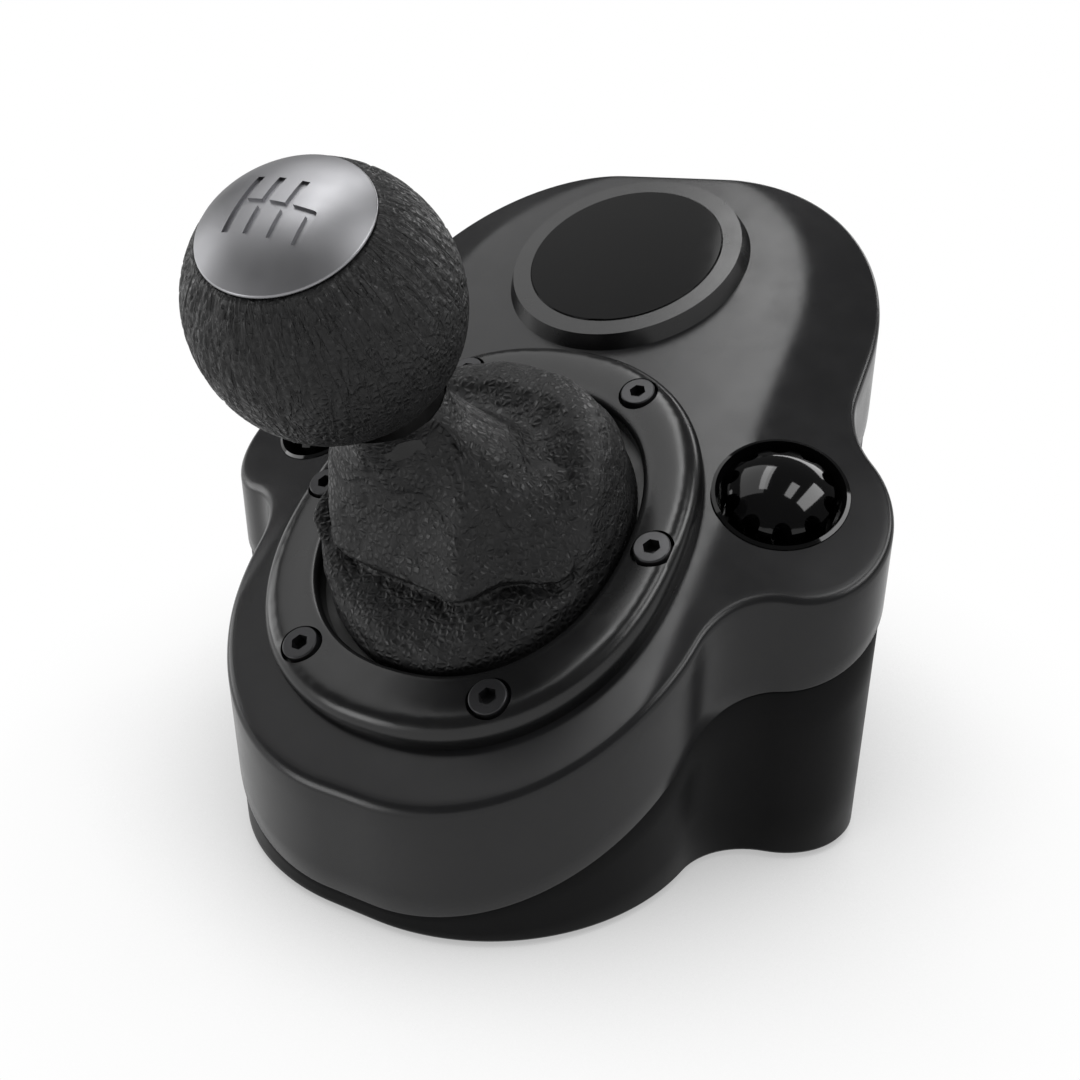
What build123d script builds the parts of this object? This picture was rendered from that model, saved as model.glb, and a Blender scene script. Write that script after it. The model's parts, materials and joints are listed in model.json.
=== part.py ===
"""A desk-clamped gear shifter: wedge-shaped housing, gaitered lever with a
round knob, push-down reverse, and two screw clamps worked from its top.

Frame: X to the right, Y away from the driver, Z up. The origin is the middle
of the bolt pattern in the underside. The sloping top is the "deck", and its
own frame has its origin at the middle of the lever's bezel, X to the right,
Y up the slope and Z square to the deck. The lever stands in its left gate.
"""

import os
from math import copysign, cos, radians, sin, tan

from build123d import *

os.makedirs("parts", exist_ok=True)

# Driving dimensions, in millimetres and degrees
deck_slope = 32.35
deck_height = 58.0
band_height = 22.2
wall = 2.8
shoulder = 0.9
seam = 0.5
lip_inset = 4.5
lip_reach = 2.8
lip_root = 5.6
fit = 0.05
gap = 0.3
overrun = 1.0
tall = 260.0

# Plan outline of the housing
front_half = 50.4
front_reach = 49.8
front_corner = 45.4
front_end = 62.0
back_half = 61.0
back_reach = 96.6
back_corner = 43.0
lobe_x = 58.0
lobe_y = 18.2
lobe_radius = 16.9
neck_radius = 15.0

# Light middle of the deck, and the wings that fall away beside it
plateau_half = 45.2
plateau_front = 90.0
plateau_side_end = 63.0
plateau_end_length = 54.0
wing_angle = 10.3
wing_run = 50.0

# Bezel around the gaiter
oval_fullness = 2.25
oval_points = 24
bezel_half_width = 42.2
bezel_half_length = 47.8
bezel_inner_half_width = 31.4
bezel_inner_half_length = 35.2
bezel_height = 5.4
bezel_outer_round = 2.6
bezel_inner_round = 1.4
bezel_pocket_radius = 4.2
bezel_pocket_floor = 1.9
deck_opening_half_width = 33.4
deck_opening_half_length = 36.8
screw_side_x = 37.0
screw_end_x = 20.4
screw_end_y = 36.3

# Socket-head screws of the bezel
cap_head_radius = 3.5
cap_head_height = 4.0
cap_socket_flats = 3.0
cap_socket_depth = 2.2
cap_shank_radius = 2.0
cap_shank_length = 9.5
boss_radius = 4.0
boss_depth = 10.0

# Blank badge at the back of the deck
badge_y = 80.0
badge_base_radius = 28.6
badge_rim_radius = 27.0
badge_height = 3.4
badge_disc_radius = 22.7
badge_disc_recess = 1.0
badge_disc_height = 1.3
badge_stem_radius = 4.0

# Lever: the pivot lies under the deck, and lengths are from the pivot
pivot_depth = 16.0
gate_angle = 7.7
lever_radius = 5.0
lever_low = 8.0
tail_radius = 1.25
tail_overhang = 3.0
knob_reach = 74.0
knob_radius = 22.9
leather = 2.4
knob_seat_depth = 7.0
cap_half_angle = 40.0
cap_lean_side = 7.2
cap_lean_fore = 6.2
cap_overhang = 0.5
cap_rise = 4.2
cap_rim_round = 0.35
pattern_columns = 4
pattern_pitch = 4.1
pattern_reach = 5.7
pattern_width = 1.3
pattern_depth = 0.5
shift_angle = 10.0

# Gaiter
boot_wall = 1.4
boot_overlap = 0.4
boot_top_radius = 11.8
boot_frame_half_width = 29.4
boot_frame_half_length = 33.0
lever_collar_radius = 9.6
lever_collar_height = 4.0
collar_clearance = 0.6

# Lever hub, and the cradle that carries it
hub_half_width = 8.4
hub_half_length = 8.0
hub_low = 8.0
hub_high = 7.0
hub_tube_radius = 7.6
hub_tube_reach = 16.0
stub_radius = 2.5
stub_inner = 5.9
stub_short = 14.0
stub_long = 19.5
cradle_half_width = 14.0
cradle_half_length = 19.0
cradle_half_height = 6.0
cradle_window_half_width = 9.0
cradle_window_half_length = 13.5
trunnion_radius = 3.0
trunnion_front = 27.0
trunnion_back = 32.0
push_spring_radius = 7.0
push_spring_wall = 1.2
spring_seat_height = 2.0
push_spring_length = 14.0

# Bracket that hangs from the deck and carries the cradle
ear_inner = 22.0
ear_outer = 26.0
ear_half_width = 8.0
ear_top = 9.0
bracket_top = 31.0
bracket_thickness = 3.0
bracket_half_width = 38.5
bracket_half_length = 27.5
bracket_window_half_width = 12.5
bracket_window_half_length = 10.0
pillar_x = 34.0
pillar_y = 18.0
pillar_radius = 4.0
pillar_screw_radius = 1.5
pillar_screw_head_radius = 2.8
pillar_screw_head = 1.8
pillar_screw_length = 26.0

# Gate under the lever's tail
standoff_length = 14.4
gate_thickness = 1.6
gate_half_width = 27.0
gate_half_length = 13.0
gate_slot_width = 3.4
standoff_x = 22.0
standoff_y = 8.5
standoff_radius = 2.8
standoff_screw_radius = 1.2
standoff_screw_head = 1.2
standoff_screw_head_radius = 2.2

# Angle sensors on the cradle's two axes
select_sensor_half = 8.5
select_sensor_length = 6.0
shift_sensor_radius = 7.0
shift_sensor_length = 5.5

# Clamps: a knob in a dish on each wing turns a spindle that moves a jaw
clamp_x = 53.5
clamp_y = 22.2
dish_radius = 12.9
dish_lip = 0.5
dish_depth = 9.0
dish_wall = 1.4
dish_floor_radius = 10.4
clamp_knob_radius = 9.9
clamp_knob_dome = 3.6
clamp_knob_skirt = 7.0
clamp_knob_top = 0.6
clamp_notch_radius = 1.8
clamp_notch_count = 10
spindle_radius = 3.4
spindle_length = 64.0
spindle_nut_reach = 26.0
jaw_hub_radius = 7.4
jaw_hub_length = 12.0
jaw_x = 47.5
jaw_half_width = 5.5
jaw_front = 25.0
jaw_leg_depth = 8.0
jaw_back = 63.0
jaw_low = 0.6
jaw_thickness = 5.0
pad_front = 40.0
pad_thickness = 2.0
pad_margin = 0.8
jaw_slot_front = 1.2
jaw_slot_back = 4.8
jaw_slot_inner = 6.2
jaw_slot_outer = 1.0

# Base plate, its bolt pattern, feet and screws
base_thickness = 3.0
base_bolt_x = 25.0
base_bolt_y = 20.0
base_bolt_radius = 2.5
base_bolt_boss_radius = 5.0
base_bolt_boss_height = 5.0
post_front_x = 34.0
post_front_y = -24.0
post_back_x = 28.0
post_back_y = 86.0
post_radius = 4.0
post_bore_radius = 1.5
post_screw_radius = 1.45
post_screw_length = 12.0
post_screw_head_radius = 3.0
post_screw_head = 1.6
foot_radius = 5.0
foot_height = 2.0
foot_inset = 1.0
foot_front_x = 18.0
foot_front_y = -37.0
foot_back_x = 29.0
foot_back_y = 74.0

# Behind the lever: ballast, circuit board, and the cable's inlet
ballast_length = 28.0
ballast_half_width = 18.0
ballast_height = 6.0
ballast_y = 68.0
board_half_width = 25.0
board_length = 30.0
board_thickness = 1.6
board_y = 68.0
board_height = 17.0
board_post_radius = 2.2
board_post_inset = 3.5
chip_size = 9.0
chip_height = 1.4
header_width = 14.0
header_depth = 5.0
header_height = 5.5
gland_height = 14.0
gland_flange_radius = 7.0
gland_flange = 2.0
gland_body_radius = 5.0
gland_bore_radius = 2.1
gland_length = 8.0

LOW = (Align.CENTER, Align.CENTER, Align.MIN)
HIGH = (Align.CENTER, Align.CENTER, Align.MAX)

deck = Pos(0, 0, deck_height) * Rot(deck_slope, 0, 0)
pivot = deck * Pos(0, 0, -pivot_depth)
lever = pivot * Rot(0, -gate_angle, 0)
split_depth = band_height * cos(radians(deck_slope))
gate_depth = bracket_top + bracket_thickness + standoff_length + gate_thickness
tail_reach = gate_depth - pivot_depth + tail_overhang
lever_collar_reach = knob_reach - knob_radius - collar_clearance - lever_collar_height
boot_height = lever_collar_reach + lever_collar_height + boot_overlap - pivot_depth
spring_seat_reach = hub_tube_reach + push_spring_length


def disc(radius, height, x=0, y=0, z=0):
    """A cylinder that stands on z."""
    return Pos(x, y, z) * Cylinder(radius, height, align=LOW)


def pipe(outer, inner, height, x=0, y=0, z=0):
    """A tube that stands on z."""
    return disc(outer, height, x, y, z) - disc(inner, height, x, y, z)


def block(width, length, height, x=0, y=0, z=0):
    """A box that stands on z."""
    return Pos(x, y, z) * Box(width, length, height, align=LOW)


def oval_line(half_width, half_length):
    """The bezel's oval, which is fuller at its corners than an ellipse."""
    places = []
    for step in range(oval_points):
        turn = radians(360 * step / oval_points)
        across = abs(cos(turn)) ** (2 / oval_fullness)
        along = abs(sin(turn)) ** (2 / oval_fullness)
        places.append(
            (copysign(half_width * across, cos(turn)), copysign(half_length * along, sin(turn)))
        )
    return make_face(Spline(*places, periodic=True))


def oval(half_width, half_length, height, z=0):
    """A disc of the bezel's oval shape that stands on z."""
    return extrude(Pos(0, 0, z) * oval_line(half_width, half_length), amount=height)


def pair(piece):
    """A piece with its mirror image across the middle plane."""
    return [piece, mirror(piece, about=Plane.YZ)]


def corners(x, y):
    """The four places at plus and minus x and y."""
    return [(a, b) for a in (-x, x) for b in (-y, y)]


def write(name, shape):
    """Writes one node."""
    pieces = shape if isinstance(shape, list) else [shape]
    solids = [solid for piece in pieces for solid in piece.solids()]
    shape = solids[0] if len(solids) == 1 else Compound(children=solids)
    shape.label = name
    export_step(shape, f"parts/{name}.step")


def is_upright(edge):
    start, end = edge @ 0, edge @ 1
    return Vector(start.X - end.X, start.Y - end.Y).length < fit


def column(growth, height):
    """The housing's plan outline, moved outwards by growth, as a solid."""
    front = RectangleRounded(
        2 * (front_half + growth),
        front_reach + front_end + 2 * growth,
        front_corner + growth,
    )
    back = RectangleRounded(
        2 * (back_half + growth), back_reach + 2 * growth, back_corner + growth
    )
    face = Pos(0, (front_end - front_reach) / 2) * front + Pos(0, back_reach / 2) * back
    for side in (-1, 1):
        face += Pos(side * lobe_x, lobe_y) * Circle(lobe_radius + growth)
    solid = extrude(face, amount=height)
    necks = []
    for edge in solid.edges():
        place = edge.center()
        from_lobe = Vector(abs(place.X) - lobe_x, place.Y - lobe_y).length
        if is_upright(edge) and abs(from_lobe - lobe_radius - growth) < fit:
            necks.append(edge)
    return fillet(necks, neck_radius - growth)


def plateau(growth):
    """The flat middle of the deck, moved outwards by growth."""
    half = plateau_half + growth
    front = plateau_front + growth
    middle = (plateau_side_end - front) / 2
    sides = Pos(0, middle) * Rectangle(2 * half, plateau_side_end + front)
    end = Pos(0, plateau_side_end) * Ellipse(half, plateau_end_length + growth)
    return sides + end


def roof(sink):
    """Everything under the deck and its wings, lowered square to the deck."""
    drop = wing_run * tan(radians(wing_angle))
    ridge = deck * Pos(0, 0, -sink) * plateau(0)
    eaves = deck * Pos(0, 0, -sink - drop) * plateau(wing_run)
    under = deck * Pos(0, 0, -sink - drop) * Box(tall * 2, tall * 2, tall, align=HIGH)
    return loft([ridge, eaves], ruled=True) + under


def housing_form(growth, sink):
    """The housing's wedge down to the ground, without its rounded shoulder."""
    return column(growth, tall) & roof(sink)


def below_split(lift):
    """Everything under the joint between the shells, raised by lift."""
    return deck * Pos(0, 0, lift - split_depth) * Box(tall * 2, tall * 2, tall, align=HIGH)


def rounded_housing():
    form = housing_form(0, 0)
    rim = []
    for face in form.faces():
        if abs(face.normal_at(face.center()).Z) > fit:
            continue
        for edge in face.edges():
            on_ground = max(abs((edge @ 0).Z), abs((edge @ 1).Z)) < fit
            if not on_ground and not is_upright(edge):
                rim.append(edge)
    return fillet(rim, shoulder)


clamp = deck * Pos(
    clamp_x, clamp_y, -(clamp_x - plateau_half) * tan(radians(wing_angle))
) * Rot(0, wing_angle, 0)
screw_places = [(-screw_side_x, 0), (screw_side_x, 0)] + corners(screw_end_x, screw_end_y)
post_places = [
    (-post_front_x, post_front_y),
    (post_front_x, post_front_y),
    (-post_back_x, post_back_y),
    (post_back_x, post_back_y),
]
foot_places = [
    (-foot_front_x, foot_front_y),
    (foot_front_x, foot_front_y),
    (-foot_back_x, foot_back_y),
    (foot_back_x, foot_back_y),
]


def gland_hole(radius):
    """The way for the cable's gland through the back wall."""
    return (
        Pos(0, back_reach, gland_height)
        * Rot(90, 0, 0)
        * Cylinder(radius, 4 * wall)
    )


def upper_shell():
    outer = rounded_housing() - below_split(0)
    inner = housing_form(-wall, wall)
    shell = outer - inner
    posts = [
        disc(post_radius, tall, x, y, base_thickness) for x, y in post_places
    ]
    bosses = [
        deck * disc(boss_radius, boss_depth, x, y, -boss_depth) for x, y in screw_places
    ]
    supports = (Part() + posts + bosses) & housing_form(-wall / 2, wall / 2)
    shell += supports
    for x, y in screw_places:
        hole_depth = cap_shank_length + gap
        shell -= deck * disc(cap_shank_radius + fit, hole_depth + wall, x, y, -hole_depth)
    for x, y in post_places:
        shell -= disc(post_bore_radius, post_screw_length, x, y, base_thickness)
    shell -= deck * oval(
        deck_opening_half_width, deck_opening_half_length, 4 * wall, -2 * wall
    )
    dish_hole = clamp * disc(dish_radius + gap / 2, 4 * wall, 0, 0, -2 * wall)
    stem_hole = deck * disc(badge_stem_radius + fit, 4 * wall, 0, badge_y, -2 * wall)
    return shell - pair(dish_hole) - stem_hole


def lower_shell():
    outer = housing_form(-seam, 0) & below_split(-seam)
    inner = housing_form(-wall, wall)
    lip = housing_form(-wall - fit, wall + gap) & below_split(lip_reach)
    lip += housing_form(-wall / 2, wall + gap) & below_split(-seam)
    lip -= housing_form(-lip_inset, wall) + below_split(-lip_root)
    lip -= block(tall, tall, base_thickness + gap)
    shell = outer - inner + lip
    return shell - gland_hole(gland_body_radius + fit)


def base_plate():
    plate = column(-wall - fit, base_thickness)
    for x, y in corners(base_bolt_x, base_bolt_y):
        plate += disc(base_bolt_boss_radius, base_bolt_boss_height, x, y)
    for x, y in corners(base_bolt_x, base_bolt_y):
        plate -= disc(base_bolt_radius, base_bolt_boss_height, x, y)
    for x, y in post_places:
        plate -= disc(post_screw_radius + fit, base_thickness, x, y)
        plate -= disc(post_screw_head_radius + fit, post_screw_head, x, y)
    for x, y in foot_places:
        plate -= disc(foot_radius + fit, foot_inset, x, y)
    slot_width = 2 * jaw_half_width + jaw_slot_inner + jaw_slot_outer
    slot_length = jaw_back - jaw_front + jaw_slot_front + jaw_slot_back
    slot = block(
        slot_width,
        slot_length,
        base_thickness,
        jaw_x + (jaw_slot_outer - jaw_slot_inner) / 2,
        (jaw_front + jaw_back + jaw_slot_back - jaw_slot_front) / 2,
    )
    return plate - pair(slot)


def post_screws():
    screws = []
    for x, y in post_places:
        shank = disc(post_screw_radius, post_screw_length - gap, x, y, gap)
        head = disc(post_screw_head_radius, post_screw_head - gap, x, y, gap)
        screws.append(shank + head)
    return screws


def feet():
    return [
        disc(foot_radius, foot_height, x, y, foot_inset - foot_height)
        for x, y in foot_places
    ]


def bezel():
    ring = oval(bezel_half_width, bezel_half_length, bezel_height)
    ring = fillet(ring.edges().sort_by(Axis.Z)[-1], bezel_outer_round)
    ring -= oval(bezel_inner_half_width, bezel_inner_half_length, bezel_height)
    inner_edge = [
        edge
        for edge in ring.edges()
        if edge.bounding_box().size.X < 2 * bezel_inner_half_width + fit
        and edge.center().Z > bezel_height - fit
    ]
    ring = fillet(inner_edge, bezel_inner_round)
    for x, y in screw_places:
        ring -= disc(bezel_pocket_radius, bezel_height, x, y, bezel_pocket_floor)
        ring -= disc(cap_shank_radius + fit, bezel_height, x, y)
    return deck * ring


def bezel_screws():
    socket = extrude(
        RegularPolygon(cap_socket_flats / 2, 6, major_radius=False),
        amount=cap_socket_depth,
    )
    screws = []
    for x, y in screw_places:
        head = disc(cap_head_radius, cap_head_height)
        head = fillet(head.edges().sort_by(Axis.Z)[-1], gap)
        head -= Pos(0, 0, cap_head_height - cap_socket_depth) * socket
        screw = head + disc(cap_shank_radius, cap_shank_length, 0, 0, -cap_shank_length)
        screws.append(deck * Pos(x, y, bezel_pocket_floor) * screw)
    return screws


def boot_frame():
    ring = oval(
        deck_opening_half_width - fit, deck_opening_half_length - fit, wall, -wall
    )
    return deck * (ring - oval(boot_frame_half_width, boot_frame_half_length, wall, -wall))


# Share of the gaiter's height, and of its half width beyond the collar, at each fold
boot_fold_shares = [
    (0.00, 1.00),
    (0.15, 0.94),
    (0.26, 0.82),
    (0.41, 0.90),
    (0.62, 0.76),
    (0.82, 0.36),
    (1.00, 0.00),
]


def boot_skin(thickness):
    """The gaiter's folds, from the bezel up to the lever's collar."""
    foot_width = bezel_inner_half_width - 2 * gap - thickness
    foot_length = bezel_inner_half_length - 2 * gap - thickness
    top = boot_top_radius - thickness
    lean = (boot_height + pivot_depth) * tan(radians(gate_angle))
    rings = []
    for rise, spread in boot_fold_shares:
        ring = Ellipse(
            top + (foot_width - top) * spread, top + (foot_length - top) * spread
        )
        rings.append(Pos(-lean * rise, 0, boot_height * rise) * ring)
    return loft(rings, ruled=True)


def boot():
    hollow = boot_skin(boot_wall)
    return deck * (boot_skin(0) - hollow)


def badge_base():
    profile_height = badge_height - badge_disc_recess
    lower = Circle(badge_base_radius)
    upper = Pos(0, 0, badge_height) * Circle(badge_rim_radius)
    ring = loft([lower, upper], ruled=True)
    ring -= disc(badge_disc_radius + fit, badge_disc_recess, 0, 0, profile_height)
    ring += disc(badge_stem_radius, 2 * wall, 0, 0, -2 * wall)
    return deck * Pos(0, badge_y, 0) * ring


def badge_disc():
    plate = disc(badge_disc_radius, badge_disc_height)
    plate = fillet(plate.edges().sort_by(Axis.Z)[-1], gap)
    return deck * Pos(0, badge_y, badge_height - badge_disc_recess) * plate


knob_centre = (lever * Pos(0, 0, knob_reach)).position
knob_seat = (
    Pos(knob_centre)
    * Rot(deck_slope, 0, 0)
    * Rot(0, cap_lean_side, 0)
    * Rot(cap_lean_fore, 0, 0)
)
cap_plane = knob_radius * cos(radians(cap_half_angle))
cap_radius = knob_radius * sin(radians(cap_half_angle)) + cap_overhang


def knob_cut():
    """Everything above the flat that the metal cap sits on."""
    return knob_seat * block(tall, tall, tall, 0, 0, cap_plane)


def lever_rod():
    seat = knob_reach - knob_seat_depth
    rod = disc(lever_radius, lever_low + seat, 0, 0, -lever_low)
    tail = disc(tail_radius, tail_reach - lever_low, 0, 0, -tail_reach)
    tail = fillet(tail.edges().sort_by(Axis.Z)[0], tail_radius / 2)
    return lever * (rod + tail)


def knob_core():
    ball = Pos(knob_centre) * Sphere(knob_radius - leather)
    seat = knob_reach - knob_seat_depth
    return ball - knob_cut() - lever * disc(lever_radius + fit, seat + fit)


def knob_leather():
    cover = Pos(knob_centre) * Sphere(knob_radius)
    cover -= Pos(knob_centre) * Sphere(knob_radius - leather + fit)
    return cover - knob_cut() - lever * disc(lever_radius + 2 * leather, knob_reach)


def pattern_slots():
    """A shift pattern of three gates ahead, four behind, and no numbers."""
    first = -(pattern_columns - 1) / 2 * pattern_pitch
    bar = (pattern_columns - 1) * pattern_pitch
    slots = block(bar, pattern_width, cap_rise)
    for step in range(pattern_columns):
        x = first + step * pattern_pitch
        slots += block(pattern_width, pattern_reach, cap_rise, x, -pattern_reach / 2)
        if step < pattern_columns - 1:
            slots += block(pattern_width, pattern_reach, cap_rise, x, pattern_reach / 2)
    return slots + disc(pattern_width / 2, cap_rise, -first, 0)


def knob_cap():
    dome_radius = (cap_radius**2 + cap_rise**2) / (2 * cap_rise)

    def dome(radius):
        return Pos(0, 0, cap_rise - dome_radius) * Sphere(radius)

    cap = dome(dome_radius) & disc(cap_radius, cap_rise + overrun)
    cap = fillet(cap.edges().sort_by(Axis.Z)[0], cap_rim_round)
    engraving = pattern_slots() - dome(dome_radius - pattern_depth)
    return knob_seat * Pos(0, 0, cap_plane) * (cap - engraving)


def lever_collar():
    ring = pipe(
        lever_collar_radius,
        lever_radius + fit,
        lever_collar_height,
        0,
        0,
        lever_collar_reach,
    )
    return lever * ring


def spring_seat():
    return lever * pipe(
        push_spring_radius,
        lever_radius + fit,
        spring_seat_height,
        0,
        0,
        spring_seat_reach,
    )


def push_spring():
    length = spring_seat_reach - hub_tube_reach
    inner = push_spring_radius - push_spring_wall
    return lever * pipe(push_spring_radius, inner, length, 0, 0, hub_tube_reach)


def lever_hub():
    height = hub_low + hub_high
    body = block(2 * hub_half_width, 2 * hub_half_length, height, 0, 0, -hub_low)
    body += disc(hub_tube_radius, hub_tube_reach)
    body -= disc(lever_radius + fit, hub_low + hub_tube_reach, 0, 0, -hub_low)
    stub_bore = Rot(0, 90, 0) * Cylinder(stub_radius + fit / 5, 4 * hub_half_width)
    return lever * (body - stub_bore)


def stub_pins():
    right = Rot(0, 90, 0) * disc(stub_radius, stub_long - stub_inner, 0, 0, stub_inner)
    left = Rot(0, -90, 0) * disc(stub_radius, stub_short - stub_inner, 0, 0, stub_inner)
    return [lever * right, lever * left]


def select_cradle():
    height = 2 * cradle_half_height
    frame = block(2 * cradle_half_width, 2 * cradle_half_length, height, 0, 0, -height / 2)
    frame -= block(
        2 * cradle_window_half_width,
        2 * cradle_window_half_length,
        height,
        0,
        0,
        -height / 2,
    )
    frame -= Rot(0, 90, 0) * Cylinder(stub_radius + fit, 4 * cradle_half_width)
    root = cradle_half_length - wall / 2
    frame += Rot(90, 0, 0) * disc(trunnion_radius, trunnion_front - root, 0, 0, root)
    frame += Rot(-90, 0, 0) * disc(trunnion_radius, trunnion_back - root, 0, 0, root)
    return lever * frame


def pivot_bracket():
    low = bracket_top + bracket_thickness
    plate = block(
        2 * bracket_half_width, 2 * bracket_half_length, bracket_thickness, 0, 0, -low
    )
    plate -= block(
        2 * bracket_window_half_width,
        2 * bracket_window_half_length,
        bracket_thickness,
        0,
        0,
        -low,
    )
    ear_thickness = ear_outer - ear_inner
    for side in (-1, 1):
        middle = side * (ear_inner + ear_outer) / 2
        plate += block(2 * ear_half_width, ear_thickness, low - ear_top, 0, middle, -low)
    for x, y in corners(pillar_x, pillar_y):
        plate += disc(pillar_radius, low - wall, x, y, -low)
    for x, y in corners(pillar_x, pillar_y):
        plate -= disc(pillar_screw_radius + fit, pillar_screw_length + fit, x, y, -low)
    trunnion_bore = Pos(0, 0, -pivot_depth) * Rot(90, 0, 0)
    plate -= trunnion_bore * Cylinder(trunnion_radius + fit, 4 * ear_outer)
    return deck * plate


def bracket_screws():
    low = bracket_top + bracket_thickness
    screws = []
    for x, y in corners(pillar_x, pillar_y):
        shank = disc(pillar_screw_radius, pillar_screw_length, x, y, -low)
        head_low = -low - pillar_screw_head
        head = disc(pillar_screw_head_radius, pillar_screw_head, x, y, head_low)
        screws.append(deck * (shank + head))
    return screws


def gate_plate():
    width = 2 * gate_half_width
    plate = block(width, 2 * gate_half_length, gate_thickness, 0, 0, -gate_depth)
    depth = gate_depth - gate_thickness / 2 - pivot_depth
    reach = depth * tan(radians(shift_angle)) / cos(radians(2 * gate_angle))
    columns = [depth * tan(radians(step * gate_angle)) for step in (1, 0, -1, -2)]
    for x in columns:
        length = 2 * reach + gate_slot_width
        plate -= block(gate_slot_width, length, gate_thickness, x, 0, -gate_depth)
    bar = columns[0] - columns[-1] + gate_slot_width
    middle = (columns[0] + columns[-1]) / 2
    plate -= block(bar, gate_slot_width, gate_thickness, middle, 0, -gate_depth)
    for x, y in corners(standoff_x, standoff_y):
        plate -= disc(standoff_screw_radius + fit, gate_thickness, x, y, -gate_depth)
    return deck * plate


def gate_standoffs():
    low = gate_depth - gate_thickness
    bore = standoff_screw_radius + fit
    return [
        deck * pipe(standoff_radius, bore, standoff_length, x, y, -low)
        for x, y in corners(standoff_x, standoff_y)
    ]


def gate_screws():
    length = gate_thickness + standoff_length - gap
    screws = []
    for x, y in corners(standoff_x, standoff_y):
        screw = disc(standoff_screw_radius, length, x, y, -gate_depth)
        head_low = -gate_depth - standoff_screw_head
        screw += disc(standoff_screw_head_radius, standoff_screw_head, x, y, head_low)
        screws.append(deck * screw)
    return screws


def select_sensor():
    length = select_sensor_length
    side = 2 * select_sensor_half
    body = block(side, length, side, 0, 0, -select_sensor_half)
    body -= Rot(90, 0, 0) * Cylinder(trunnion_radius + fit, 2 * length)
    return pivot * Pos(0, ear_outer + length / 2, 0) * body


def shift_sensor():
    body = pipe(shift_sensor_radius, stub_radius + fit, shift_sensor_length)
    return lever * Pos(cradle_half_width, 0, 0) * Rot(0, 90, 0) * body


def clamp_dish():
    with BuildPart() as bowl:
        with BuildSketch(Plane.XZ):
            with BuildLine():
                Polyline(
                    (spindle_radius + fit, -dish_depth - dish_wall),
                    (spindle_radius + fit, -dish_depth),
                    (dish_floor_radius, -dish_depth),
                )
                Line(
                    (dish_floor_radius, -dish_depth),
                    (dish_radius - dish_wall, -dish_wall),
                )
                Polyline(
                    (dish_radius - dish_wall, -dish_wall),
                    (dish_radius - dish_wall / 2, dish_lip),
                    (dish_radius, dish_lip - gap),
                    (dish_radius, -2 * dish_wall),
                    (dish_floor_radius + dish_wall, -dish_depth - dish_wall),
                    (spindle_radius + fit, -dish_depth - dish_wall),
                )
            make_face()
        revolve(axis=Axis.Z)
    return clamp * bowl.part


def clamp_knob():
    low = clamp_knob_top - clamp_knob_skirt
    grip = disc(clamp_knob_radius, clamp_knob_skirt, 0, 0, low)
    dome_radius = (clamp_knob_radius**2 + clamp_knob_dome**2) / (2 * clamp_knob_dome)
    dome_centre = clamp_knob_top + clamp_knob_dome - dome_radius
    cover = Pos(0, 0, dome_centre) * Sphere(dome_radius)
    grip += cover & disc(clamp_knob_radius, clamp_knob_dome + overrun, 0, 0, clamp_knob_top)
    for step in range(clamp_notch_count):
        turn = Rot(0, 0, 360 * step / clamp_notch_count)
        grip -= turn * disc(clamp_notch_radius, tall, clamp_knob_radius, 0, low)
    grip -= disc(spindle_radius + fit, clamp_knob_skirt / 2, 0, 0, low)
    return clamp * grip


def clamp_spindle():
    top = clamp_knob_top - clamp_knob_skirt / 2
    rod = disc(spindle_radius, spindle_length + top, 0, 0, -spindle_length)
    return clamp * rod


def clamp_jaw():
    nut_low = -spindle_nut_reach - jaw_hub_length / 2
    nut = clamp * disc(jaw_hub_radius, jaw_hub_length, 0, 0, nut_low)
    nut_centre = (clamp * Pos(0, 0, -spindle_nut_reach)).position
    leg = block(
        2 * jaw_half_width,
        jaw_leg_depth,
        nut_centre.Z - jaw_low,
        jaw_x,
        jaw_front + jaw_leg_depth / 2,
        jaw_low,
    )
    foot = block(
        2 * jaw_half_width,
        jaw_back - jaw_front,
        jaw_thickness,
        jaw_x,
        (jaw_back + jaw_front) / 2,
        jaw_low,
    )
    jaw = nut + leg + foot
    return jaw - clamp * disc(spindle_radius + fit, tall, 0, 0, -tall / 2)


def jaw_pad():
    length = jaw_back - pad_front - pad_margin
    return block(
        2 * (jaw_half_width - pad_margin),
        length,
        pad_thickness,
        jaw_x,
        pad_front + length / 2,
        jaw_low + jaw_thickness,
    )


def ballast():
    width = 2 * ballast_half_width
    return block(width, ballast_length, ballast_height, 0, ballast_y, base_thickness)


board_top = board_height + board_thickness
board_post_places = [
    (x, board_y + y)
    for x, y in corners(
        board_half_width - board_post_inset, board_length / 2 - board_post_inset
    )
]


def circuit_board():
    width = 2 * board_half_width
    board = block(width, board_length, board_thickness, 0, board_y, board_height)
    for x, y in board_post_places:
        board -= disc(pillar_screw_radius + fit, board_thickness, x, y, board_height)
    return board


def board_posts():
    height = board_height - base_thickness
    bore = pillar_screw_radius + fit
    return [
        pipe(board_post_radius, bore, height, x, y, base_thickness)
        for x, y in board_post_places
    ]


def board_screws():
    length = (board_height - base_thickness) / 2 + board_thickness
    screws = []
    for x, y in board_post_places:
        shank = disc(pillar_screw_radius, length, x, y, board_top - length)
        head = disc(pillar_screw_head_radius, pillar_screw_head, x, y, board_top)
        screws.append(shank + head)
    return screws


def board_chip():
    return block(chip_size, chip_size, chip_height, -chip_size, board_y, board_top)


def board_header():
    place = board_y + board_length / 2 - header_depth / 2
    return block(header_width, header_depth, header_height, 0, place, board_top)


def cable_gland():
    body = disc(gland_body_radius, gland_length, 0, 0, -gland_length)
    body += disc(gland_flange_radius, gland_flange)
    body -= disc(gland_bore_radius, gland_length + gland_flange, 0, 0, -gland_length)
    return Pos(0, back_reach - seam, gland_height) * Rot(-90, 0, 0) * body


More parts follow.
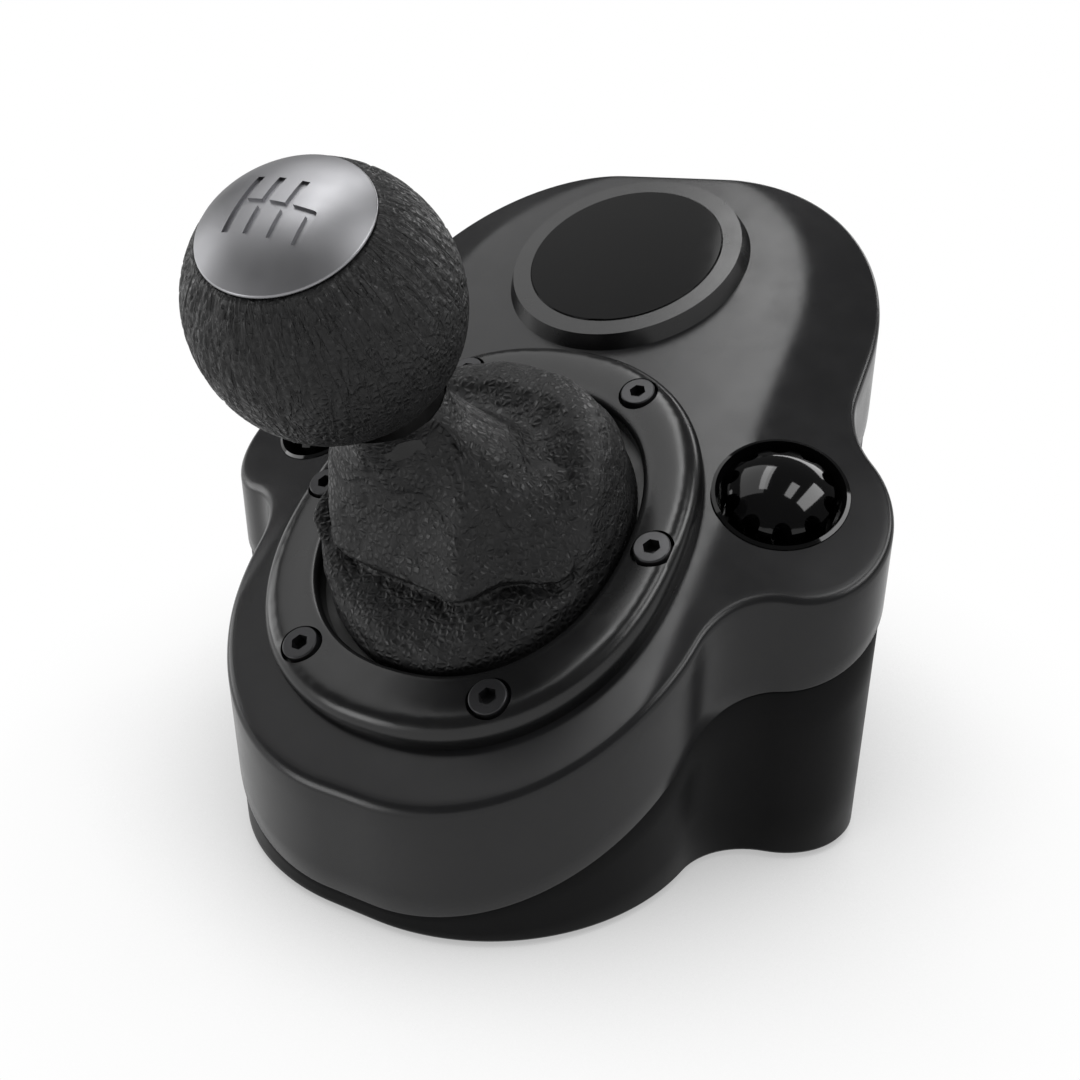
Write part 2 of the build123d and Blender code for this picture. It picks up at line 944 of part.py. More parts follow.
def main():
    write("upper_shell", upper_shell())
    write("lower_shell", lower_shell())
    write("base_plate", base_plate())
    write("base_screws", post_screws())
    write("feet", feet())
    write("bezel", bezel())
    write("bezel_screws", bezel_screws())
    write("boot_frame", boot_frame())
    write("boot", boot())
    write("badge_base", badge_base())
    write("badge_disc", badge_disc())
    write("lever_rod", lever_rod())
    write("knob_core", knob_core())
    write("knob_leather", knob_leather())
    write("knob_cap", knob_cap())
    write("lever_collar", lever_collar())
    write("spring_seat", spring_seat())
    write("push_spring", push_spring())
    write("lever_hub", lever_hub())
    write("stub_pins", stub_pins())
    write("select_cradle", select_cradle())
    write("pivot_bracket", pivot_bracket())
    write("bracket_screws", bracket_screws())
    write("gate_plate", gate_plate())
    write("gate_standoffs", gate_standoffs())
    write("gate_screws", gate_screws())
    write("select_sensor", select_sensor())
    write("shift_sensor", shift_sensor())
    for name, piece in (
        ("dish", clamp_dish()),
        ("clamp_knob", clamp_knob()),
        ("clamp_spindle", clamp_spindle()),
        ("clamp_jaw", clamp_jaw()),
        ("jaw_pad", jaw_pad()),
    ):
        right, left = pair(piece)
        write(f"{name}_right", right)
        write(f"{name}_left", left)
    write("ballast", ballast())
    write("circuit_board", circuit_board())
    write("board_posts", board_posts())
    write("board_screws", board_screws())
    write("board_chip", board_chip())
    write("board_header", board_header())
    write("cable_gland", cable_gland())


main()
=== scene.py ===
"""A desktop gear shifter in its left gate, dressed for the camera.

Lengths are in millimetres in the tables and become metres on the way to the mesh.
The deck's own frame has X to the right, V up the slope and W square to the deck.
"""

import json
from math import atan2, cos, pi, radians, sin, sqrt, tan

import bpy
import numpy as np
from mathutils import Matrix, Vector, geometry, noise


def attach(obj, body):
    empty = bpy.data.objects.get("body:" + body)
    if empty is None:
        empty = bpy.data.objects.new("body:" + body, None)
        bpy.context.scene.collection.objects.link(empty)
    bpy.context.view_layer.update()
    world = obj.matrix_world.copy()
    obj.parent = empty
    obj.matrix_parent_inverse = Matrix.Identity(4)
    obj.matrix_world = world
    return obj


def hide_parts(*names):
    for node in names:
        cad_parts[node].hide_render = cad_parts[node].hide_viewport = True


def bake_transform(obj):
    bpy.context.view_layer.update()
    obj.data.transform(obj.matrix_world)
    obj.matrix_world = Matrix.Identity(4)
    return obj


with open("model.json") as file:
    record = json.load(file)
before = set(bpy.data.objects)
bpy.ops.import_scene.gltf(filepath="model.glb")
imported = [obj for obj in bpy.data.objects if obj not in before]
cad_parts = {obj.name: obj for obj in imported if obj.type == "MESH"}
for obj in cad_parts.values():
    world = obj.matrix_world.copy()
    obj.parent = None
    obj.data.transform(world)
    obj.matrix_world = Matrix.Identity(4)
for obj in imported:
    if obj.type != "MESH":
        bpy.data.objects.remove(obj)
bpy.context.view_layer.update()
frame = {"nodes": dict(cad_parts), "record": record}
cad = frame["nodes"]
MM = 0.001
PER_MM = 1000.0
TINY = 1e-9

# Repeats of the two searches, the distance at which a web's points merge, how far it keeps
# from its rim as a share of its spacing, and the angles in degrees that stay sharp
DECK_REPEATS, SHARE_HALVINGS = 5, 24
MERGE_DISTANCE = 1e-6
CLEAR_SHARE = 0.6
SHELL_SHARP, BEZEL_SHARP = 50, 40

# The deck, the wings' fall, the clamps on them, and the lever in its gate
SLOPE = radians(32.35)
DECK_HEIGHT = 58.0
WING = radians(10.3)
CLAMP_X, CLAMP_V = 53.5, 22.2
GATE = radians(7.7)
PIVOT_DEPTH = 16.0

# The flat middle of the deck, straight at the sides and rounded at the back, and how softly
# it turns into the wings, in square millimetres
PLATEAU_HALF = 45.2
PLATEAU_STRAIGHT = 63.0
PLATEAU_END = 54.0
CREASE_SOFTNESS = 0.5

# Plan outline of the housing: centres and radii of its corners and lobes, and the necks
FRONT_CENTRE, FRONT_RADIUS = (5.0, -4.4), 45.4
LOBE_CENTRE, LOBE_RADIUS = (58.0, 18.2), 16.9
BACK_CENTRE, BACK_RADIUS = (18.0, 53.6), 43.0
NECK_RADIUS = 15.0
OUTLINE_STEP = 1.3

# The upper shell: its band, wall and top round, the band's foot as pairs of inset and lift,
# and its openings with the spacing of the webs round them
BAND = 22.2
WALL = 2.8
ROUND = 1.3
ROUND_STEPS = 6
BAND_FOOT = [(0.45, 0.0), (0.12, 0.12), (0.0, 0.45)]
BAND_SHARES = (0.2, 0.4, 0.6, 0.8)
DECK_INSETS = (2.2, 3.4, 4.6, 5.8)
DECK_OPENING = (33.4, 36.8)
DISH_HOLE = 13.0
OPENING_COUNT, DISH_COUNT = 120, 64
DECK_WEB, UNDER_WEB = 2.0, 6.0

# The lower shell: its foot as pairs of inset and height, and the lip inside the band
SEAM = 0.5
SEAM_GAP = 0.5
SEAM_ROUND = 0.3
FOOT = [(WALL, 0.0), (1.6, 0.0), (0.9, 0.2), (SEAM, 0.9)]
LOWER_SHARES = (0.25, 0.5, 0.75, 1.0)
LIP_FIT = 0.05
LIP_INSET = 4.5
LIP_REACH = 3.0
LIP_ROOT, LIP_ROOT_FLOOR = 7.0, 3.4
LIP_TAPER, LIP_TAPER_FLOOR = 8.5, 3.3

# The bezel: its oval, its screws and their pockets
FULLNESS = 2.25
BEZEL_IN, BEZEL_OUT = (31.4, 35.2), (42.2, 47.8)
SCREW_SIDE, SCREW_END = 37.0, (20.4, 36.3)
POCKET_RADIUS = 4.15
POCKET_FLOOR = 1.9
POCKET_CHAMFER = 0.12
POCKET_SHARE = 0.985
BEZEL_COUNT, POCKET_COUNT = 240, 40
BEZEL_WEB = 0.9
WEB_SHARES = (0.19, 0.8)

# Share of the way from the bezel's inner edge to its outer edge, and height over the deck.
# The rows from TOP_START to TOP_END are filled as a web, since the pockets lie there.
BEZEL_PROFILE = [
    (0.00, 0.0), (0.00, 3.1), (0.012, 3.8), (0.04, 4.35), (0.085, 4.62), (0.14, 4.66),
    (0.30, 4.95), (0.45, 5.2), (0.60, 5.36), (0.70, 5.36), (0.78, 5.24), (0.85, 4.92),
    (0.91, 4.4), (0.955, 3.7), (0.985, 2.9), (1.00, 2.0), (1.00, 0.0),
]
TOP_START, TOP_END = 5, 11

# The knob: its ball, how far its cap leans from the deck's normal, and the leather's span
# as angles from the cap's axis, and how far its rim turns in under the cap, as a share
KNOB_HEIGHT = 74.0
KNOB_RADIUS = 22.85
CAP_LEAN_RIGHT = radians(7.2)
CAP_LEAN_FRONT = radians(6.2)
SKIN_START, SKIN_STOP = radians(38.5), radians(168.0)
SKIN_AROUND, SKIN_DOWN = 400, 200
RIM_SHARE = 0.97

# The push-down spring, from the hub's tube up to its seat on the rod
SPRING_LOW, SPRING_HIGH = 16.0, 30.0
SPRING_RADIUS, SPRING_WIRE = 6.35, 0.6
SPRING_TURNS, TURN_STEPS, WIRE_SIDES = 7, 36, 10


# Frames

def deck_points(table):
    """From the deck's frame to the part's frame."""
    table = np.asarray(table, float)
    x, v, w = table[:, 0], table[:, 1], table[:, 2]
    return np.stack([
        x,
        v * cos(SLOPE) - w * sin(SLOPE),
        DECK_HEIGHT + v * sin(SLOPE) + w * cos(SLOPE),
    ], axis=1)


def lever_points(table):
    """From the lever's frame (origin at the pivot, Z up the rod) to the part's frame."""
    table = np.asarray(table, float)
    x = table[:, 0] * cos(GATE) - table[:, 2] * sin(GATE)
    w = table[:, 0] * sin(GATE) + table[:, 2] * cos(GATE) - PIVOT_DEPTH
    return deck_points(np.stack([x, table[:, 1], w], axis=1))


def clamp_points(table, side):
    """From the right clamp's frame (origin on the wing, Z out of it); side -1 mirrors."""
    table = np.asarray(table, float)
    fall = (CLAMP_X - PLATEAU_HALF) * tan(WING)
    x = CLAMP_X + table[:, 0] * cos(WING) + table[:, 2] * sin(WING)
    w = -fall - table[:, 0] * sin(WING) + table[:, 2] * cos(WING)
    points = deck_points(np.stack([x, CLAMP_V + table[:, 1], w], axis=1))
    points[:, 0] *= side
    return points


# Meshes

def make(name, points, faces, slot, body, replaced=(), sharp=None):
    """A mesh piece from points in millimetres; a piece given no body is attached to none.

    Edges stay sharp over the angle sharp, in degrees, if one is given.
    """
    mesh = bpy.data.meshes.new(name)
    verts = [tuple(p) for p in np.asarray(points) * MM]
    mesh.from_pydata(verts, [], [tuple(int(i) for i in face) for face in faces])
    mesh.validate()
    mesh.update()
    mesh.shade_smooth()
    if sharp is not None:
        mesh.set_sharp_from_angle(angle=radians(sharp))
    piece = bpy.data.objects.new(name, mesh)
    bpy.context.scene.collection.objects.link(piece)
    mesh.materials.append(SLOTS[slot])
    if body:
        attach(piece, body)
    if replaced:
        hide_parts(*replaced)
    return piece


class Builder:
    """Collects loops of points and the faces between them."""

    def __init__(self):
        self.points = []
        self.faces = []

    def loop(self, points):
        start = len(self.points)
        self.points.extend([np.asarray(p, float) for p in points])
        return list(range(start, len(self.points)))

    def bridge(self, low, high):
        count = len(low)
        for i in range(count):
            j = (i + 1) % count
            self.faces.append((low[i], low[j], high[j], high[i]))

    def skin(self, loops):
        for low, high in zip(loops, loops[1:]):
            self.bridge(low, high)

    def fan(self, loop, centre):
        tip = self.loop([centre])[0]
        count = len(loop)
        for i in range(count):
            self.faces.append((loop[i], loop[(i + 1) % count], tip))


def circle(radius, count):
    turns = [2 * pi * i / count for i in range(count)]
    return [(radius * cos(turn), radius * sin(turn), 0.0) for turn in turns]


def oval(half_width, half_length, count, height=0.0):
    """The bezel's oval, a little fuller at its corners than an ellipse."""
    points = []
    for i in range(count):
        turn = 2 * pi * i / count
        across, along = (abs(f(turn)) ** (2 / FULLNESS) for f in (cos, sin))
        points.append((
            half_width * across * (1 if cos(turn) > 0 else -1),
            half_length * along * (1 if sin(turn) > 0 else -1),
            height,
        ))
    return points


def inside(polygon, p):
    """Whether a place lies inside a polygon, by the crossings to its right."""
    x, y = polygon[:, 0], polygon[:, 1]
    x2, y2 = np.roll(x, -1), np.roll(y, -1)
    crossing = (y > p[1]) != (y2 > p[1])
    with np.errstate(divide="ignore", invalid="ignore"):
        where = (x2 - x) * (p[1] - y) / (y2 - y) + x
    return bool(np.sum(crossing & (p[0] < where)) % 2)


def web_points(rim, spacing, keep):
    """Staggered rows of places within the rim's box that keep clear of the rim's points."""
    clear = CLEAR_SHARE * spacing
    low, high = rim.min(axis=0), rim.max(axis=0)
    xs = np.arange(low[0], high[0], spacing)
    ys = np.arange(low[1], high[1], spacing)
    chosen = []
    for row, y in enumerate(ys):
        line = np.column_stack([xs + (row % 2) * spacing / 2, np.full(len(xs), y)])
        if keep is not None:
            line = line[keep(line[:, 0], line[:, 1])]
        for p in line:
            if np.min(np.sum((rim - p) ** 2, axis=1)) > clear**2:
                chosen.append(p)
    return chosen


def fill(builder, border, holes, height, spacing, keep=None):
    """Fills between the border loop and the hole loops with a fine web on a height."""
    loops = [border] + holes
    flat = [builder.points[i][:2] for loop in loops for i in loop]
    index = [i for loop in loops for i in loop]
    edges = []
    start = 0
    for loop in loops:
        count = len(loop)
        edges += [(start + i, start + (i + 1) % count) for i in range(count)]
        start += count
    inner = web_points(np.array(flat), spacing, keep)
    spots = [Vector(p) for p in flat] + [Vector(p) for p in inner]
    web = geometry.delaunay_2d_cdt(spots, edges, [], 1, MERGE_DISTANCE)
    verts, _, faces, originals, _, _ = web
    final = []
    for vert, source in zip(verts, originals):
        source = [s for s in source if s < len(index)]
        if source:
            final.append(index[source[0]])
        else:
            z = float(height(np.array(vert.x), np.array(vert.y)))
            final.append(builder.loop([(vert.x, vert.y, z)])[0])
    polygons = [np.array([builder.points[i][:2] for i in hole]) for hole in holes]
    for face in faces:
        middle = sum((verts[i] for i in face), Vector((0, 0))) / len(face)
        if not any(inside(polygon, middle) for polygon in polygons):
            builder.faces.append(tuple(final[i] for i in face))


# The housing's outline and heights

def outline():
    """Points and outward normals around the plan outline, as seen from above."""
    front, lobe = np.array(FRONT_CENTRE), np.array(LOBE_CENTRE)
    front_reach = FRONT_CENTRE[1] - FRONT_RADIUS
    back_half = BACK_CENTRE[0] + BACK_RADIUS
    back_reach = BACK_CENTRE[1] + BACK_RADIUS
    to_front = FRONT_RADIUS + NECK_RADIUS
    to_lobe = LOBE_RADIUS + NECK_RADIUS
    apart = lobe - front
    far = np.linalg.norm(apart)
    along = (to_front**2 - to_lobe**2 + far**2) / (2 * far)
    aside = sqrt(to_front**2 - along**2)
    unit = apart / far
    front_neck = front + along * unit + aside * np.array([unit[1], -unit[0]])
    back_x = back_half + NECK_RADIUS
    back_neck = np.array([back_x, lobe[1] + sqrt(to_lobe**2 - (back_x - lobe[0]) ** 2)])
    points, normals = [], []

    def heading(start, end):
        return atan2(end[1] - start[1], end[0] - start[0])

    def line(start, end):
        start, end = np.array(start), np.array(end)
        length = np.linalg.norm(end - start)
        direction = (end - start) / length
        count = max(2, int(length / OUTLINE_STEP))
        for i in range(count):
            points.append(start + direction * length * i / count)
            normals.append(np.array([direction[1], -direction[0]]))

    def arc(centre, radius, start, end, outward):
        count = max(4, int(abs(end - start) * radius / OUTLINE_STEP))
        for i in range(count):
            angle = start + (end - start) * i / count
            ray = np.array([cos(angle), sin(angle)])
            points.append(np.array(centre) + radius * ray)
            normals.append(ray * outward)

    turn_off = heading(front, front_neck)
    turn_in = heading(back_neck, lobe)
    line((0.0, front_reach), (front[0], front_reach))
    arc(front, FRONT_RADIUS, -pi / 2, turn_off, 1)
    arc(front_neck, NECK_RADIUS, turn_off + pi, heading(front_neck, lobe), -1)
    arc(lobe, LOBE_RADIUS, heading(lobe, front_neck), heading(lobe, back_neck), 1)
    arc(back_neck, NECK_RADIUS, turn_in + 2 * pi, pi, -1)
    line((back_half, back_neck[1]), (back_half, BACK_CENTRE[1]))
    arc(BACK_CENTRE, BACK_RADIUS, 0.0, pi / 2, 1)
    line((BACK_CENTRE[0], back_reach), (0.0, back_reach))
    points, normals = np.array(points), np.array(normals)
    mirror = [-1, 1]
    points = np.concatenate([points, [[0.0, back_reach]], points[1:][::-1] * mirror])
    normals = np.concatenate([normals, [[0.0, 1.0]], normals[1:][::-1] * mirror])
    return points, normals


RIM, RIM_NORMAL = outline()


def wing_drop(x, v):
    """How far the wings fall below the deck's flat middle, at a place on the deck."""
    x = np.abs(x)
    beyond = np.maximum(v - PLATEAU_STRAIGHT, 0.0)
    ratio = np.sqrt((x / PLATEAU_HALF) ** 2 + (beyond / PLATEAU_END) ** 2) + TINY
    slope = np.sqrt((x / PLATEAU_HALF**2) ** 2 + (beyond / PLATEAU_END**2) ** 2)
    slope = slope / ratio + TINY
    distance = (ratio - 1) / slope
    return 0.5 * (distance + np.sqrt(distance**2 + CREASE_SOFTNESS)) * tan(WING)


def deck_z(x, y):
    """The deck's height over the ground at a place in plan, found by a few repeats."""
    v = y / cos(SLOPE)
    for _ in range(DECK_REPEATS):
        w = -wing_drop(x, v)
        v = (y + w * sin(SLOPE)) / cos(SLOPE)
    w = -wing_drop(x, v)
    return DECK_HEIGHT + v * sin(SLOPE) + w * cos(SLOPE)


def split_z(y, lift=0.0):
    """The height of the joint between the shells."""
    return DECK_HEIGHT - BAND + y * tan(SLOPE) + lift


def level(height):
    return lambda x, y: 0 * y + height


def along_split(lift):
    return lambda x, y: split_z(y, lift)


def under_deck(depth):
    return lambda x, y: deck_z(x, y) - depth


def between(low, high, share):
    """A height that lies at a share of the way from one height to another."""
    return lambda x, y: low(x, y) * (1 - share) + high(x, y) * share


def ring(inset, height):
    """The outline moved inwards, at a height that depends on the place."""
    flat = RIM - RIM_NORMAL * inset
    z = height(flat[:, 0], flat[:, 1])
    return np.column_stack([flat, z])


def drop_to_deck(points):
    """Slides points along the ground's normal until they lie on the deck."""
    points = np.asarray(points, float)
    z = deck_z(points[:, 0], points[:, 1])
    return np.column_stack([points[:, 0], points[:, 1], z])


# Materials

# Between which values of a noise a colour or finish changes
NOISE_LOW, NOISE_HIGH = 0.3, 0.7


def material(name, color, roughness, metallic=0.0, specular=0.5):
    mat = bpy.data.materials.new(name)
    mat.use_nodes = True
    shader = mat.node_tree.nodes["Principled BSDF"]
    shader.inputs["Base Color"].default_value = (*color, 1.0)
    shader.inputs["Roughness"].default_value = roughness
    shader.inputs["Metallic"].default_value = metallic
    shader.inputs["Specular IOR Level"].default_value = specular
    return mat


def tree_of(mat):
    tree = mat.node_tree
    return tree.nodes, tree.links, tree.nodes["Principled BSDF"]


def compute(mat, kind, operation, result, *values):
    """A math node fed with other nodes' outputs or constants, and one of its outputs."""
    nodes, links, _ = tree_of(mat)
    node = nodes.new(kind)
    node.operation = operation
    for socket, value in zip(node.inputs, values):
        if isinstance(value, bpy.types.NodeSocket):
            links.new(value, socket)
        else:
            socket.default_value = value
    return node.outputs[result]


def scalar_math(mat, operation, *values):
    return compute(mat, "ShaderNodeMath", operation, "Value", *values)


def vector_math(mat, operation, *values):
    return compute(mat, "ShaderNodeVectorMath", operation, "Vector", *values)


def object_coords(mat, scale=(1.0, 1.0, 1.0)):
    """Object coordinates in millimetres times scale."""
    nodes, links, _ = tree_of(mat)
    coords = nodes.new("ShaderNodeTexCoord")
    mapping = nodes.new("ShaderNodeMapping")
    mapping.inputs["Scale"].default_value = tuple(PER_MM * s for s in scale)
    links.new(coords.outputs["Object"], mapping.inputs["Vector"])
    return mapping.outputs["Vector"]


def bump(mat, height, distance):
    """Lays a relief over what the shader's normal holds so far."""
    nodes, links, shader = tree_of(mat)
    node = nodes.new("ShaderNodeBump")
    node.inputs["Strength"].default_value = 1.0
    node.inputs["Distance"].default_value = distance * MM
    links.new(height, node.inputs["Height"])
    if shader.inputs["Normal"].is_linked:
        links.new(shader.inputs["Normal"].links[0].from_socket, node.inputs["Normal"])
    links.new(node.outputs["Normal"], shader.inputs["Normal"])


def noise_texture(mat, scale, detail=2.0, rough=0.5, vector=None, distortion=0.0):
    """Noise over the object's millimetres, or over the coordinates given."""
    nodes, links, _ = tree_of(mat)
    node = nodes.new("ShaderNodeTexNoise")
    node.inputs["Scale"].default_value = scale
    node.inputs["Detail"].default_value = detail
    node.inputs["Roughness"].default_value = rough
    node.inputs["Distortion"].default_value = distortion
    links.new(vector or object_coords(mat), node.inputs["Vector"])
    return node.outputs["Fac"]


def remap(mat, value, low, high, start=NOISE_LOW, stop=NOISE_HIGH):
    """Turns the span from start to stop into the span from low to high."""
    nodes, links, _ = tree_of(mat)
    node = nodes.new("ShaderNodeMapRange")
    spans = (("From Min", start), ("From Max", stop), ("To Min", low), ("To Max", high))
    for key, number in spans:
        node.inputs[key].default_value = number
    links.new(value, node.inputs["Value"])
    return node.outputs["Result"]


def vary(mat, value, dark, light):
    """Colour that wanders between two shades."""
    nodes, links, shader = tree_of(mat)
    ramp = nodes.new("ShaderNodeValToRGB")
    ends = zip(ramp.color_ramp.elements, (NOISE_LOW, NOISE_HIGH), (dark, light))
    for element, position, color in ends:
        element.position = position
        element.color = (*color, 1)
    links.new(value, ramp.inputs["Fac"])
    links.new(ramp.outputs["Color"], shader.inputs["Base Color"])


def satin(name, dark, light, smooth, rough, grain=0.012, **more):
    """Moulded plastic: a fine spark-eroded grain and slightly uneven gloss."""
    shade_scale, gloss_scale, grain_scale = 0.06, 0.15, 5.5
    mat = material(name, light, rough, **more)
    _, links, shader = tree_of(mat)
    vary(mat, noise_texture(mat, shade_scale, detail=3), dark, light)
    gloss = remap(mat, noise_texture(mat, gloss_scale, detail=3), smooth, rough)
    links.new(gloss, shader.inputs["Roughness"])
    bump(mat, noise_texture(mat, grain_scale), grain)
    return mat


def steel(name, shade, smooth, rough):
    """Bare metal with fine marks round it, closely packed along Z."""
    marks, marks_scale, marks_depth = (1.0, 1.0, 14.0), 1.5, 0.004
    dark_share = 0.8
    mat = material(name, (shade,) * 3, rough, metallic=1.0)
    _, links, shader = tree_of(mat)
    fine = noise_texture(mat, marks_scale, detail=4, vector=object_coords(mat, marks))
    links.new(remap(mat, fine, smooth, rough), shader.inputs["Roughness"])
    vary(mat, fine, (shade * dark_share,) * 3, (shade,) * 3)
    bump(mat, fine, marks_depth)
    return mat


def leather(name, dark, light, cell, depth, wrinkle_coords=None):
    """Grained leather: small cells with creases between them, and soft creases over them."""
    warp_scale, warp_amount = 0.35, 0.9
    crease_half_width = 0.36
    dull, shiny = 0.60, 0.36
    shade_scale = 0.25
    mat = material(name, light, roughness=0.5, specular=0.33)
    nodes, links, shader = tree_of(mat)
    coords = object_coords(mat)
    warp = nodes.new("ShaderNodeTexNoise")
    warp.inputs["Scale"].default_value = warp_scale
    links.new(coords, warp.inputs["Vector"])
    amount = (warp_amount,) * 3
    shifted = vector_math(mat, "MULTIPLY_ADD", warp.outputs["Color"], amount, coords)
    cells = nodes.new("ShaderNodeTexVoronoi")
    cells.feature = "DISTANCE_TO_EDGE"
    cells.inputs["Scale"].default_value = 1 / cell
    cells.inputs["Randomness"].default_value = 1.0
    links.new(shifted, cells.inputs["Vector"])
    grain = remap(mat, cells.outputs["Distance"], 0.0, 1.0, 0.0, crease_half_width)
    grain.node.interpolation_type = "SMOOTHERSTEP"
    vary(mat, noise_texture(mat, shade_scale, detail=4), dark, light)
    links.new(remap(mat, grain, dull, shiny, 0.0, 1.0), shader.inputs["Roughness"])
    bump(mat, grain, depth)
    if wrinkle_coords:
        wrinkle_half_width, wrinkle_share = 0.06, 1.2
        wrinkles = noise_texture(mat, scale=1.0, detail=3, rough=0.55,
                                 vector=wrinkle_coords(mat), distortion=0.5)
        off_middle = scalar_math(mat, "SUBTRACT", wrinkles, 0.5)
        creases = scalar_math(mat, "ABSOLUTE", off_middle)
        bump(mat, remap(mat, creases, 0.0, 1.0, 0.0, wrinkle_half_width), depth * wrinkle_share)
    return mat


# The cap's own frame: the deck's, leaning to the right and to the front
LEAN = (
    Matrix.Rotation(SLOPE, 3, "X")
    @ Matrix.Rotation(CAP_LEAN_RIGHT, 3, "Y")
    @ Matrix.Rotation(CAP_LEAN_FRONT, 3, "X")
)
KNOB_CENTRE = lever_points([(0, 0, KNOB_HEIGHT)])[0]
CAP_AXIS = np.array(LEAN @ Vector((0, 0, 1)))
CAP_X = np.array(LEAN @ Vector((1, 0, 0)))
CAP_Y = np.cross(CAP_AXIS, CAP_X)


def knob_wrinkles(mat):
    """Coordinates in which creases run away from the cap, down the ball."""
    ball_radius, count_around, count_down = 22.9, 13.0, 3.2
    nodes, links, _ = tree_of(mat)
    coords = nodes.new("ShaderNodeTexCoord").outputs["Object"]
    centred = vector_math(mat, "SUBTRACT", coords, tuple(KNOB_CENTRE * MM))
    parts = []
    for axis in (CAP_X, CAP_Y, CAP_AXIS):
        scaled = tuple(axis * PER_MM / ball_radius)
        parts.append(compute(mat, "ShaderNodeVectorMath", "DOT_PRODUCT", "Value", centred, scaled))
    flat = nodes.new("ShaderNodeCombineXYZ")
    links.new(parts[0], flat.inputs["X"])
    links.new(parts[1], flat.inputs["Y"])
    unit = vector_math(mat, "NORMALIZE", flat.outputs["Vector"])
    around = vector_math(mat, "MULTIPLY", unit, (count_around,) * 3)
    down = nodes.new("ShaderNodeCombineXYZ")
    links.new(scalar_math(mat, "MULTIPLY", parts[2], count_down), down.inputs["Z"])
    return vector_math(mat, "ADD", around, down.outputs["Vector"])


# The leather's darker and lighter shade
HIDE = ((0.006, 0.006, 0.0062), (0.011, 0.011, 0.0114))

# Slot, name, darker shade, lighter shade, smoothest and roughest finish, and what else differs
SATINS = [
    ("shell", "shell_satin", (0.011, 0.011, 0.0116), (0.014, 0.014, 0.0147), 0.22, 0.27,
     {"specular": 0.3}),
    ("shell_low", "lower_satin", (0.007, 0.007, 0.0073), (0.009, 0.009, 0.0093), 0.36, 0.42,
     {"specular": 0.06}),
    ("bezel", "bezel_satin", (0.006, 0.006, 0.0063), (0.008, 0.008, 0.0083), 0.22, 0.28,
     {"grain": 0.006, "specular": 0.4}),
    ("gloss", "gloss_black", (0.002, 0.002, 0.0022), (0.003, 0.003, 0.0032), 0.05, 0.08,
     {"grain": 0.0006, "specular": 0.3}),
    ("badge_gloss", "badge_gloss", (0.0015, 0.0015, 0.0016), (0.002, 0.002, 0.0021), 0.06, 0.09,
     {"grain": 0.0004, "specular": 0.07}),
    ("inner_plastic", "moulded_black", (0.015,) * 3, (0.022,) * 3, 0.45, 0.55, {}),
    ("nylon", "nylon", (0.62, 0.61, 0.57), (0.72, 0.71, 0.67), 0.42, 0.5, {}),
    ("sensor_plastic", "sensor_blue", (0.03, 0.08, 0.22), (0.05, 0.12, 0.3), 0.35, 0.45, {}),
    ("board_green", "board_green", (0.01, 0.12, 0.04), (0.02, 0.17, 0.06), 0.3, 0.4, {}),
    ("chip_black", "chip_black", (0.012,) * 3, (0.02,) * 3, 0.5, 0.6, {}),
    ("header_cream", "header_cream", (0.7, 0.66, 0.52), (0.8, 0.76, 0.62), 0.4, 0.5, {}),
    ("foot_rubber", "rubber", (0.012,) * 3, (0.02,) * 3, 0.7, 0.85, {"grain": 0.03}),
    ("cap_metal", "cap_satin", (0.24, 0.24, 0.25), (0.28, 0.28, 0.29), 0.38, 0.45,
     {"grain": 0.004, "metallic": 1.0}),
    ("dark_steel", "blackened_steel", (0.02, 0.02, 0.021), (0.035, 0.035, 0.037), 0.28, 0.38,
     {"grain": 0.004, "metallic": 0.6}),
]

SLOTS = {slot: satin(*look, **more) for slot, *look, more in SATINS}
SLOTS["boot_leather"] = leather("boot_leather", *HIDE, cell=1.35, depth=0.13)
SLOTS["knob_leather"] = leather("knob_leather", *HIDE, cell=1.25, depth=0.13,
                                wrinkle_coords=knob_wrinkles)
SLOTS["lever_steel"] = steel("lever_steel", shade=0.55, smooth=0.22, rough=0.34)
SLOTS["spring_steel"] = steel("spring_steel", shade=0.35, smooth=0.3, rough=0.42)
SLOTS["brass"] = steel("brass", shade=0.6, smooth=0.2, rough=0.3)

for subpart in frame["record"]["subparts"]:
    node = cad[subpart["node"]]
    node.data.materials.clear()
    node.data.materials.append(SLOTS[subpart["material_slot"]])


# Upper shell

